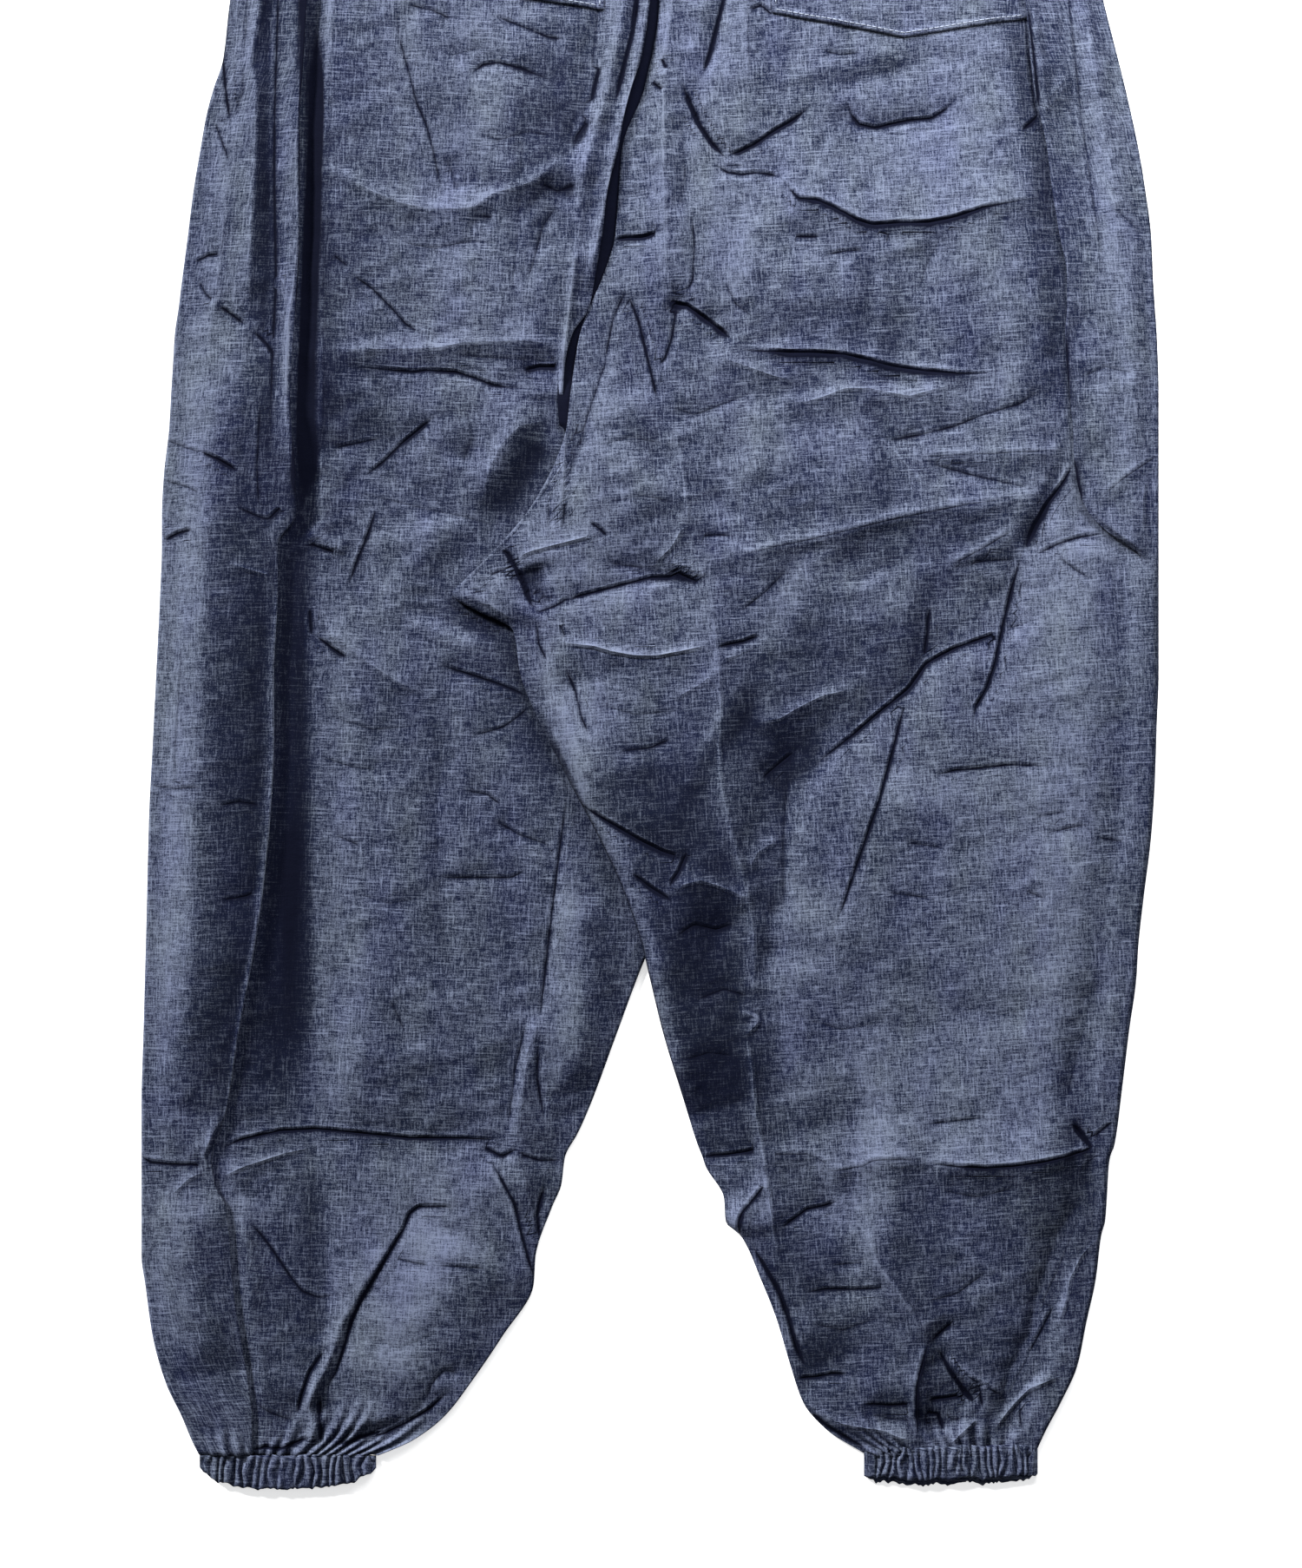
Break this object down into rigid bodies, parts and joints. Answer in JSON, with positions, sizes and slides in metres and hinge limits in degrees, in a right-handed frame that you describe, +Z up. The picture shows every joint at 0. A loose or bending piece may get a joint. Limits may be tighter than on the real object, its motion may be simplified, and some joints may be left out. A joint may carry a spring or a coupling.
{
  "type": "balloon pants",
  "caption": "Balloon pants in thin chambray, laid flat with the back side up: wide tapering legs, a drop crotch, an elastic waist, gathered elastic cuffs and patch pockets.",
  "frame": {"origin": "on the surface that the garment lies on, at the middle of its width and length", "axes": "+Z up from that surface, +Y towards the waist, -Y towards the cuffs, +X to the right seen from above; the back of the garment faces up"},
  "size_m": [0.5512, 1.006, 0.0101],
  "materials": {
    "chambray": "matt indigo and white chambray, slubby",
    "gathered_chambray": "matt chambray gathered on elastic"
  },
  "bodies": {
    "root": {"front_left": "chambray", "front_right": "chambray", "back_left": "chambray", "back_right": "chambray", "pocket_left": "chambray", "pocket_right": "chambray", "waistband": "gathered_chambray", "cuff_left": "gathered_chambray", "cuff_right": "gathered_chambray"}
  },
  "joints": []
}
